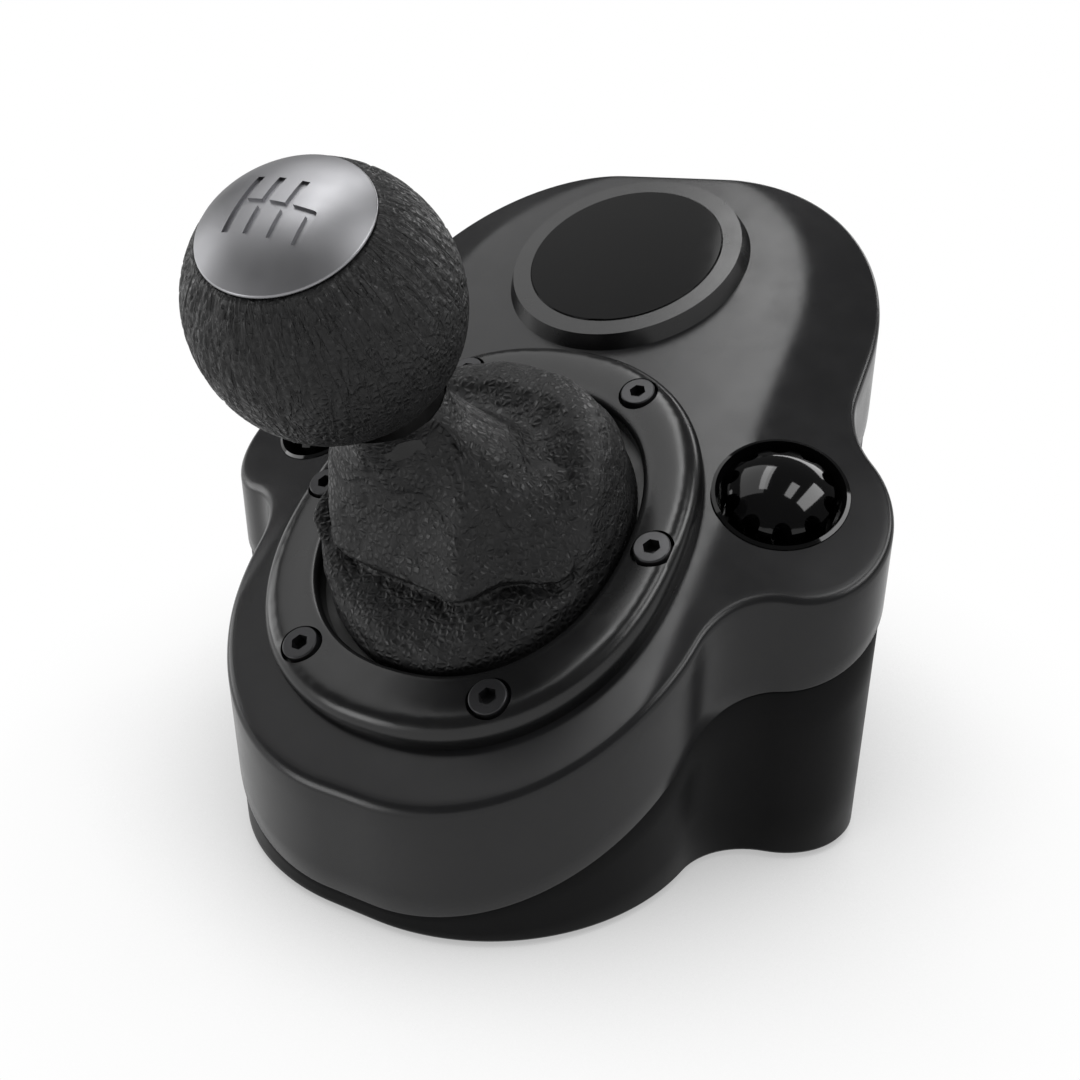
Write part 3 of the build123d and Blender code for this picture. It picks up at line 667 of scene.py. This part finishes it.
def upper_shell():
    built = Builder()
    foot_top = along_split(BAND_FOOT[-1][1])
    loops = [built.loop(ring(WALL, along_split(0.0)))]
    for inset, lift in BAND_FOOT:
        loops.append(built.loop(ring(inset, along_split(lift))))
    for share in BAND_SHARES:
        loops.append(built.loop(ring(0.0, between(foot_top, under_deck(ROUND), share))))
    for i in range(ROUND_STEPS + 1):
        turn = pi / 2 * i / ROUND_STEPS
        inset = ROUND * (1 - cos(turn))
        loops.append(built.loop(ring(inset, under_deck(ROUND * (1 - sin(turn))))))
    for inset in DECK_INSETS:
        loops.append(built.loop(ring(inset, deck_z)))
    built.skin(loops)
    openings = [deck_points(oval(*DECK_OPENING, OPENING_COUNT))]
    for side in (1, -1):
        openings.append(clamp_points(circle(DISH_HOLE, DISH_COUNT), side)[::side])
    holes = [built.loop(drop_to_deck(opening)) for opening in openings]
    fill(built, loops[-1], holes, deck_z, DECK_WEB)
    under = WALL / cos(SLOPE)
    beneath = under_deck(under)
    wall_top = built.loop(ring(WALL, beneath))
    margin = built.loop(ring(DECK_INSETS[-1], beneath))
    built.skin([margin, wall_top, loops[0]])
    lower_holes = [built.loop(drop_to_deck(opening) - [0, 0, under]) for opening in openings]
    start = len(built.faces)
    fill(built, margin, lower_holes, beneath, UNDER_WEB)
    built.faces[start:] = [face[::-1] for face in built.faces[start:]]
    for high, low in zip(holes, lower_holes):
        built.bridge(high, low)
    make("upper_shell_skin", built.points, built.faces, "shell", "housing", ("upper_shell",),
         sharp=SHELL_SHARP)


# Lower shell

def lower_shell():
    built = Builder()
    foot_top = level(FOOT[-1][1])
    wall_top = along_split(-SEAM_GAP - SEAM_ROUND)
    lip = WALL + LIP_FIT
    loops = [built.loop(ring(inset, level(height))) for inset, height in FOOT]
    for share in LOWER_SHARES:
        loops.append(built.loop(ring(SEAM, between(foot_top, wall_top, share))))
    upper_rows = [
        (SEAM + SEAM_ROUND, along_split(-SEAM_GAP)),
        (lip, along_split(-SEAM_GAP)),
        (lip, along_split(LIP_REACH)),
        (LIP_INSET, along_split(LIP_REACH)),
        (LIP_INSET, lambda x, y: np.maximum(split_z(y, -LIP_ROOT), LIP_ROOT_FLOOR)),
        (WALL, lambda x, y: np.maximum(split_z(y, -LIP_TAPER), LIP_TAPER_FLOOR)),
    ]
    loops += [built.loop(ring(inset, height)) for inset, height in upper_rows]
    built.skin(loops + loops[:1])
    make("lower_shell_skin", built.points, built.faces, "shell_low", "housing", ("lower_shell",),
         sharp=SHELL_SHARP)


upper_shell()
lower_shell()


# Bezel

def bezel_height(share):
    top = BEZEL_PROFILE[2:-1]
    return np.interp(share, [row[0] for row in top], [row[1] for row in top])


def bezel_half(share):
    """Half the width and half the length of the bezel's oval at a share of the way outwards."""
    return [low + (high - low) * share for low, high in zip(BEZEL_IN, BEZEL_OUT)]


def bezel_share(x, v):
    """Where a place lies between the bezel's inner and outer edges, 0 to 1, by halving."""
    low = np.zeros_like(x, float)
    high = np.ones_like(x, float)
    for _ in range(SHARE_HALVINGS):
        mid = (low + high) / 2
        half_width, half_length = bezel_half(mid)
        outside = np.abs(x / half_width) ** FULLNESS + np.abs(v / half_length) ** FULLNESS > 1
        low = np.where(outside, mid, low)
        high = np.where(outside, high, mid)
    return (low + high) / 2


def on_bezel(x, v):
    return bezel_height(bezel_share(x, v))


def web_place(x, v):
    share = bezel_share(x, v)
    return (share > WEB_SHARES[0]) & (share < WEB_SHARES[1])


def screw_places():
    end_x, end_v = SCREW_END
    sides = [(side * SCREW_SIDE, 0.0) for side in (-1, 1)]
    return sides + [(i * end_x, j * end_v) for i in (-1, 1) for j in (-1, 1)]


def bezel():
    built = Builder()
    loops = []
    for share, height in BEZEL_PROFILE:
        loops.append(built.loop(oval(*bezel_half(share), BEZEL_COUNT, height)))
    built.skin(loops[TOP_START::-1])
    built.skin(loops[:TOP_END - 1:-1])
    pockets, floors = [], []
    for x, v in screw_places():
        rim = np.array(circle(POCKET_RADIUS, POCKET_COUNT)) + [x, v, 0]
        rim[:, 2] = on_bezel(rim[:, 0], rim[:, 1])
        wall = rim.copy()
        wall[:, :2] = (wall[:, :2] - [x, v]) * POCKET_SHARE + [x, v]
        wall[:, 2] -= POCKET_CHAMFER
        floor = wall.copy()
        floor[:, 2] = POCKET_FLOOR
        pocket = [built.loop(row) for row in (rim, wall, floor)]
        built.skin(pocket)
        pockets.append(pocket[0])
        floors.append((pocket[-1], (x, v, POCKET_FLOOR)))
    fill(built, loops[TOP_END], [loops[TOP_START]] + pockets, on_bezel, BEZEL_WEB, keep=web_place)
    for floor, centre in floors:
        built.fan(floor, centre)
    points = deck_points(built.points)
    make("bezel_ring", points, built.faces, "bezel", "housing", ("bezel",), sharp=BEZEL_SHARP)


bezel()


# Boot

# Columns of the boot's net, from the back round by the right, the front and the left:
# places (x, v, w) on the deck, from the bezel up to the collar
BOOT_NET = [
    [(0, 34.4, .3), (0, 34, 4), (0, 33, 9), (.4, 31, 14), (1, 28, 18.5), (1.8, 24, 21.6),
     (2.4, 20, 22.4), (2, 16.6, 20.8), (1, 13.4, 20.8), (-1.4, 10.6, 25.5), (-4, 9.4, 31),
     (-5, 10.1, 35.8)],
    [(15.3, 29.8, .3), (15.1, 29.4, 4), (15, 28.6, 9), (15, 27, 14), (15.2, 24.6, 18.5),
     (15.4, 21, 21.6), (14.8, 17.4, 22.4), (12.8, 14, 20.6), (10.2, 11, 20.4), (5.4, 8.2, 25.4),
     (1, 7, 31), (-.4, 7.9, 35.8)],
    [(25.1, 19.7, .3), (24.8, 19.5, 4), (24.6, 19, 9), (24.4, 18, 13.5), (24.4, 16.2, 17.5),
     (23.8, 13.4, 20.8), (22, 10.8, 21.8), (18.6, 8.4, 20.2), (14.8, 6.6, 20.2), (9.4, 4.6, 25.6),
     (4.2, 3.6, 31), (2, 5.2, 35.8)],
    [(30.1, 6, .3), (29.8, 6, 4), (29.4, 6, 8.5), (29, 5.6, 12.5), (28.8, 4.6, 15.8),
     (27.8, 3.2, 18.6), (25.4, 2.4, 19.6), (21.6, 2.2, 18.8), (17.6, 1.2, 20.2), (12.4, .6, 24.8),
     (6.6, .4, 30.4), (3, 2, 35.8)],
    [(29.9, -7.2, .3), (29.6, -7.2, 3.4), (29.2, -7.4, 6.8), (28.8, -7.2, 10), (27.8, -6.8, 12.8),
     (26, -5.8, 15), (23.2, -4.8, 16.4), (20, -4.2, 17.6), (16.4, -3.4, 20.8), (12, -2.6, 25.2),
     (7, -1.4, 30.6), (3.3, 0, 35.8)],
    [(27.5, -15.1, .3), (27.2, -15, 3), (26.9, -14.4, 5.4), (26.4, -13.2, 6.6),
     (25.2, -11.6, 7.6), (25.8, -12.4, 9.6), (23.2, -10.4, 12), (19, -8.4, 15.4),
     (15.2, -6.8, 19.6), (11.4, -4.8, 24.6), (7, -2.4, 30.4), (3.2, -1.2, 35.8)],
    [(21.6, -24.3, .3), (21.4, -24, 3.4), (20.2, -22.4, 6.2), (18.4, -20.2, 7),
     (14.8, -15.6, 7.2), (16.4, -16.2, 10.4), (14.8, -13.8, 13.4), (13, -11.2, 16.6),
     (11.2, -8.6, 21), (9, -5.6, 26.2), (5.8, -2.8, 31.2), (3.1, -2.2, 35.8)],
    [(14.4, -30.4, .3), (14.2, -30.1, 3.5), (13, -27.8, 6.5), (11.8, -25.2, 7.3), (10.2, -21, 8),
     (9.8, -23, 11), (9.4, -20, 14), (9.1, -16.2, 17.5), (8.4, -10.8, 22.5), (6.8, -5.4, 28),
     (4.6, -2, 32.5), (2.7, -3.5, 35.8)],
    [(5.4, -33.9, .3), (5.3, -33.6, 3.5), (4.9, -30.9, 6.6), (4.3, -27.2, 7.2), (3.4, -20.8, 7.2),
     (3.2, -22.2, 10.6), (2.8, -18.2, 14), (2.2, -13.6, 18.5), (1.4, -10.4, 23), (.6, -8.2, 28),
     (-.5, -7.2, 32.5), (-.4, -7.9, 35.8)],
    [(-8, -33.3, .3), (-7.9, -33, 3.5), (-7.3, -30.5, 6.5), (-6.8, -27, 7.2), (-6.8, -19.8, 7),
     (-7, -20, 10.4), (-7.2, -16.4, 15), (-7.4, -13, 20), (-7.6, -11.2, 24.5),
     (-7.6, -10.5, 28.5), (-7.2, -10.3, 32.5), (-7, -10.3, 35.8)],
    [(-19.7, -26.4, .3), (-19.5, -26.1, 3.5), (-18.6, -25, 6.8), (-16.8, -23.2, 7.8),
     (-15, -18.4, 8), (-15.2, -18.8, 10.6), (-15.6, -15.4, 15), (-15.6, -12.4, 20),
     (-15.2, -10.4, 24.5), (-14.2, -9.4, 28.5), (-12.8, -9, 32.3), (-12.2, -8.9, 35.8)],
    [(-26.5, -17.2, .3), (-26.3, -17, 3.5), (-26, -17, 7), (-25, -16.8, 9.6), (-22, -15.2, 9.2),
     (-22.6, -16, 10.8), (-23, -12.8, 15), (-23.2, -9.9, 19), (-22.4, -7.4, 24), (-20, -6, 28.5),
     (-16.4, -5.2, 32.6), (-15.9, -5.2, 35.8)],
    [(-30.5, -3, .3), (-30.3, -3, 4), (-30, -4.5, 8.5), (-29.2, -8, 12.8), (-26.2, -6.5, 11),
     (-25.4, -5.6, 12.4), (-25.4, -4.2, 16.2), (-24.8, -3, 20.2), (-23, -2, 24.5),
     (-20.6, -1.2, 28.6), (-17.6, -.6, 32.6), (-17.3, 0, 35.8)],
    [(-26.5, 17.2, .3), (-26.3, 17, 4), (-26, 16.6, 8), (-25.4, 16, 12), (-24.6, 15.2, 15.5),
     (-23.6, 14.2, 18.5), (-22, 12.8, 21), (-20, 11.2, 22.6), (-18, 9.6, 23.8), (-16.4, 7.6, 27),
     (-15.8, 6.2, 31.8), (-15.9, 5.2, 35.8)],
    [(-14.6, 30.1, .3), (-14.5, 29.8, 4), (-14.3, 29, 9), (-13.8, 27.6, 14), (-13.2, 25.6, 18),
     (-12.2, 22.6, 20.8), (-11, 19.2, 21.8), (-10, 16, 20.6), (-9.6, 13.4, 21),
     (-9.6, 11.2, 25.5), (-10, 10, 31), (-10.5, 9.7, 35.8)],
]

# How many places the net gets between two of its own, round the boot and up it
NET_AROUND, NET_UP = 16, 10
# The heights between which the boot crumples, over how much height that sets in at either
# end, and how strongly it does
CRUMPLE_LOW, CRUMPLE_LOW_RUN = 1.0, 5.0
CRUMPLE_HIGH, CRUMPLE_HIGH_RUN = 35.6, 4.0
CRUMPLE_SHARE = 0.8

# Name, lowest and highest place, the bodies it stretches between, and where that starts and ends
BOOT_ZONES = (
    ("boot_lower", -9.0, 20.2, "housing", "cradle", 4.0, 20.0),
    ("boot_upper", 20.2, 25.2, "cradle", "hub", 20.3, 25.0),
    ("boot_neck", 25.2, 99.0, "hub", "stick", 25.4, 33.0),
)


def through(points, steps, closed):
    """A smooth curve through rows of points, with steps places from each to the next."""
    count = len(points)
    out = []
    for i in range(count if closed else count - 1):
        if closed:
            a, b, c, d = (points[(i + k) % count] for k in (-1, 0, 1, 2))
        else:
            a, b, c, d = (points[min(max(i + k, 0), count - 1)] for k in (-1, 0, 1, 2))
        for j in range(steps):
            t = j / steps
            out.append(
                b + 0.5 * t * (c - a)
                + t * t * (a - 2.5 * b + 2 * c - 0.5 * d)
                + t ** 3 * (1.5 * b - 1.5 * c + 0.5 * d - 0.5 * a)
            )
    if not closed:
        out.append(points[-1])
    return np.array(out)


def crease(value, width):
    """1 where a value is zero, falling to 0 where it reaches width on either side."""
    return max(0.0, width - abs(value)) / width


def boot_noise(v, across, up, shift):
    """Noise at a place on the boot, with its own scale across the deck and up from it."""
    x, y, z = v[0] * across, v[1] * across, v[2] * up
    return noise.noise(Vector((x + shift[0], y + shift[1], z + shift[2])))


def crumple(v):
    """How far the leather stands off its smooth form at a place: dents, folds and fine lines."""
    dents = boot_noise(v, 0.12, 0.17, (0, 0, 4))
    folds = crease(boot_noise(v, 0.17, 0.21, (9, 0, 0)), 0.16)
    lines = crease(boot_noise(v, 0.42, 0.36, (0, 7, 0)), 0.14)
    dent_depth, fold_depth, line_depth = 0.8, 0.44, 0.22
    return dent_depth * dents - fold_depth * folds - line_depth * lines


def boot_surface():
    """The whole boot's points in the deck's frame, and the faces between them."""
    net = through(np.array(BOOT_NET, float), NET_AROUND, True)
    net = through(net.transpose(1, 0, 2), NET_UP, False)
    levels, around = net.shape[:2]
    faces = []
    for j in range(levels - 1):
        row, above = j * around, (j + 1) * around
        for i in range(around):
            k = (i + 1) % around
            faces.append((row + i, row + k, above + k, above + i))
    across = np.roll(net, -1, axis=1) - np.roll(net, 1, axis=1)
    normals = np.cross(across, np.gradient(net, axis=0)).reshape(-1, 3)
    normals *= -1 / (np.linalg.norm(normals, axis=1, keepdims=True) + TINY)
    verts = net.reshape(-1, 3)
    height = verts[:, 2]
    free = np.clip((height - CRUMPLE_LOW) / CRUMPLE_LOW_RUN, 0, 1)
    free *= np.clip((CRUMPLE_HIGH - height) / CRUMPLE_HIGH_RUN, 0, 1)
    push = np.array([crumple(v) for v in verts]) * free * CRUMPLE_SHARE
    return verts + normals * push[:, None], faces


def boot():
    """The boot in three zones, which share their normals so that no seam shows."""
    verts, faces = boot_surface()
    world = deck_points(verts)
    middles = np.array([verts[list(face), 2].mean() for face in faces])
    whole = bpy.data.meshes.new("boot_whole")
    whole.from_pydata([tuple(p) for p in world * MM], [], faces)
    whole.update()
    normals = np.array([v.normal[:] for v in whole.vertices])
    for name, low, high, still, moved, start, end in BOOT_ZONES:
        used = [face for face, middle in zip(faces, middles) if low <= middle < high]
        index = sorted({i for face in used for i in face})
        place = {old: new for new, old in enumerate(index)}
        zone_faces = [[place[i] for i in face] for face in used]
        replaced = ("boot",) if name == "boot_lower" else ()
        piece = make(name, world[index], zone_faces, "boot_leather", None, replaced)
        piece.data.normals_split_custom_set_from_vertices([tuple(n) for n in normals[index]])
        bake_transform(piece)


boot()


# Leather on the knob

def streaks(turn, polar, around, down, shift):
    """Noise on the ball, drawn out along the way down from the cap."""
    x, y = cos(turn) * around, sin(turn) * around
    return abs(noise.noise(Vector((x, y, polar * down + shift))))


def skin_radius(turn, polar, ray):
    """How far the leather lies from the ball's middle: creases, a soft wave, a tucked rim."""
    crease_depth, crease_width, crease_run = 0.36, 0.15, 0.10
    fade_end, fade_run, fade_share = 2.2, 0.9, 0.35
    wave_depth, wave_scale = 0.10, 2.2
    tuck_depth, tuck_run = 0.6, 0.05
    fine_floor = 0.05
    coarse = streaks(turn, polar, 11.0, 3.0, 0.0)
    fine = fine_floor + streaks(turn, polar, 17.0, 5.0, 5.0)
    depth = crease_depth * crease(min(coarse, fine), crease_width)
    depth *= np.clip((polar - SKIN_START) / crease_run, 0, 1)
    depth *= fade_share + (1 - fade_share) * np.clip((fade_end - polar) / fade_run, 0, 1)
    wave = wave_depth * noise.noise(Vector((ray * wave_scale).tolist()))
    tuck = tuck_depth * max(0.0, 1 - (polar - SKIN_START) / tuck_run) ** 2
    return KNOB_RADIUS - depth + wave - tuck


def knob_skin():
    """A ball with creases that run away from the cap, open under the cap."""
    built = Builder()
    loops = []
    for j in range(SKIN_DOWN + 1):
        polar = SKIN_START + (SKIN_STOP - SKIN_START) * j / SKIN_DOWN
        row = []
        for i in range(SKIN_AROUND):
            turn = 2 * pi * i / SKIN_AROUND
            ray = np.array([sin(polar) * cos(turn), sin(polar) * sin(turn), cos(polar)])
            out = ray[0] * CAP_X + ray[1] * CAP_Y + ray[2] * CAP_AXIS
            row.append(KNOB_CENTRE + skin_radius(turn, polar, ray) * out)
        loops.append(built.loop(row))
    built.skin(loops[::-1])
    built.fan(loops[-1][::-1], KNOB_CENTRE - KNOB_RADIUS * CAP_AXIS)
    rim = [built.points[i] for i in loops[0]]
    inner = built.loop([KNOB_CENTRE + RIM_SHARE * (p - KNOB_CENTRE) for p in rim])
    built.bridge(loops[0], inner)
    make("knob_cover", built.points, built.faces, "knob_leather", "stick", ("knob_leather",))


knob_skin()


# Spring under the knob

def push_spring():
    """A coil around the rod, from the hub's tube up to the seat that follows the rod."""
    built = Builder()
    steps = SPRING_TURNS * TURN_STEPS
    climb = SPRING_HIGH - SPRING_LOW - 2 * SPRING_WIRE
    loops = []
    for i in range(steps + 1):
        turn = 2 * pi * i / TURN_STEPS
        rise = SPRING_LOW + SPRING_WIRE + climb * i / steps
        row = []
        for k in range(WIRE_SIDES):
            side = 2 * pi * k / WIRE_SIDES
            reach = SPRING_RADIUS + SPRING_WIRE * cos(side)
            row.append((reach * cos(turn), reach * sin(turn), rise + SPRING_WIRE * sin(side)))
        loops.append(built.loop(lever_points(row)))
    built.skin(loops[::-1])
    built.faces += [tuple(loops[0]), tuple(reversed(loops[-1]))]
    piece = make("push_spring_coil", built.points, built.faces, "spring_steel", None,
                 ("push_spring",))
    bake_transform(piece)


push_spring()


# Stage, light and camera, in metres

FLOOR_Z = -0.001
FLOOR_REACH, FLOOR_WALL, FLOOR_COUNT = 2.6, 0.9, 64
FLOOR_SHADE = (0.85, 0.85, 0.85)
CONTACT_REACH, CONTACT_SAMPLES = 0.07, 8
CONTACT_DARKEST = 0.45
CONTACT_START, CONTACT_STOP = 0.3, 0.92
SHADOW_END, SHADOW_GONE = 0.3, 0.9
WORLD_LIGHT = 0.12

# The object's middle, which the lower lamps aim at. The lamps over the deck aim straight
# across it instead, each at its own Y, so that their long sides lie along X or Y.
TARGET = (0.0, 0.03, 0.07)

# Name, place, aim, size, size square to that, power
LAMPS = [
    ("key_soft", (-0.27, 0.06, 0.62), (0.0, 0.06, 0.07), 0.60, 0.36, 1.05),
    ("key_core", (-0.11, 0.08, 0.64), (0.0, 0.08, 0.07), 0.46, 0.11, 0.85),
    ("ring_soft", (0.24, -0.04, 0.60), (0.0, -0.04, 0.07), 0.26, 0.10, 0.50),
    ("left_fill", (-0.62, -0.12, 0.30), TARGET, 0.25, 0.40, 1.0),
    ("front_left", (-0.42, -0.62, 0.16), TARGET, 0.22, 0.30, 1.0),
    ("right_strip", (0.44, 0.08, 0.50), (0.0, 0.08, 0.07), 0.50, 0.16, 1.7),
    ("back_rim", (0.10, 0.62, 0.40), TARGET, 0.55, 0.16, 1.2),
]

CAMERA_PLACE = (0.10105, -0.16613, 0.13779)
CAMERA_AIM = (0.01013, 0.00465, 0.05596)
CAMERA_SENSOR, CAMERA_LENS = 36.0, 35.083
CAMERA_NEAREST = 0.01


def aimed(place, aim):
    """The turn that points a lamp or a camera from its place to its aim."""
    return (Vector(aim) - Vector(place)).to_track_quat("-Z", "Y").to_euler()


def area_lamp(name, place, aim, size, size_across, power):
    data = bpy.data.lights.new(name, "AREA")
    data.energy = power
    data.shape = "RECTANGLE"
    data.size = size
    data.size_y = size_across
    lamp = bpy.data.objects.new(name, data)
    lamp.location = place
    lamp.rotation_euler = aimed(place, aim)
    bpy.context.scene.collection.objects.link(lamp)


def seen_directly(mat):
    """1 for what the camera sees directly, in a mirror or through glass, else 0."""
    nodes, _, _ = tree_of(mat)
    rays = nodes.new("ShaderNodeLightPath").outputs
    seen = scalar_math(mat, "MAXIMUM", rays["Is Camera Ray"], rays["Is Glossy Ray"])
    return scalar_math(mat, "MAXIMUM", seen, rays["Is Transmission Ray"])


def floor_material():
    """A floor that is seen as plain white, with a soft contact shadow near the object."""
    mat = material("floor_white", FLOOR_SHADE, roughness=0.8, specular=0.2)
    nodes, links, shader = tree_of(mat)
    near = nodes.new("ShaderNodeAmbientOcclusion")
    near.samples = CONTACT_SAMPLES
    near.inputs["Distance"].default_value = CONTACT_REACH
    open_share = near.outputs["AO"]
    shade = remap(mat, open_share, CONTACT_DARKEST, 1.0, CONTACT_START, CONTACT_STOP)
    position = nodes.new("ShaderNodeNewGeometry").outputs["Position"]
    away = compute(mat, "ShaderNodeVectorMath", "LENGTH", "Value", position)
    outside = remap(mat, away, 0.0, 1.0, SHADOW_END, SHADOW_GONE)
    glow = nodes.new("ShaderNodeEmission")
    links.new(scalar_math(mat, "MAXIMUM", shade, outside), glow.inputs["Color"])
    mix = nodes.new("ShaderNodeMixShader")
    links.new(seen_directly(mat), mix.inputs["Fac"])
    links.new(shader.outputs["BSDF"], mix.inputs[1])
    links.new(glow.outputs["Emission"], mix.inputs[2])
    links.new(mix.outputs["Shader"], nodes["Material Output"].inputs["Surface"])
    return mat


def stage():
    """A pale floor with a low pale wall far round it, like a studio's sweep."""
    count = FLOOR_COUNT
    turns = [2 * pi * i / count for i in range(count)]
    rim = [(FLOOR_REACH * cos(turn), FLOOR_REACH * sin(turn)) for turn in turns]
    points = [(x, y, FLOOR_Z) for x, y in rim] + [(x, y, FLOOR_WALL) for x, y in rim]
    faces = [tuple(range(count))]
    for i in range(count):
        j = (i + 1) % count
        faces.append((count + i, count + j, j, i))
    mesh = bpy.data.meshes.new("floor")
    mesh.from_pydata(points, [], faces)
    mesh.materials.append(floor_material())
    floor = bpy.data.objects.new("floor", mesh)
    bpy.context.scene.collection.objects.link(floor)


def world_light():
    world = bpy.data.worlds.new("studio")
    world.use_nodes = True
    background = world.node_tree.nodes["Background"]
    background.inputs["Color"].default_value = (1, 1, 1, 1)
    background.inputs["Strength"].default_value = WORLD_LIGHT
    bpy.context.scene.world = world


def photo_camera():
    data = bpy.data.cameras.new("camera")
    data.sensor_width = CAMERA_SENSOR
    data.lens = CAMERA_LENS
    data.clip_start = CAMERA_NEAREST
    camera = bpy.data.objects.new("camera", data)
    camera.location = CAMERA_PLACE
    camera.rotation_euler = aimed(CAMERA_PLACE, CAMERA_AIM)
    bpy.context.scene.collection.objects.link(camera)
    bpy.context.scene.camera = camera


stage()
for lamp in LAMPS:
    area_lamp(*lamp)
world_light()
photo_camera()
bpy.context.scene.view_settings.view_transform = "Standard"
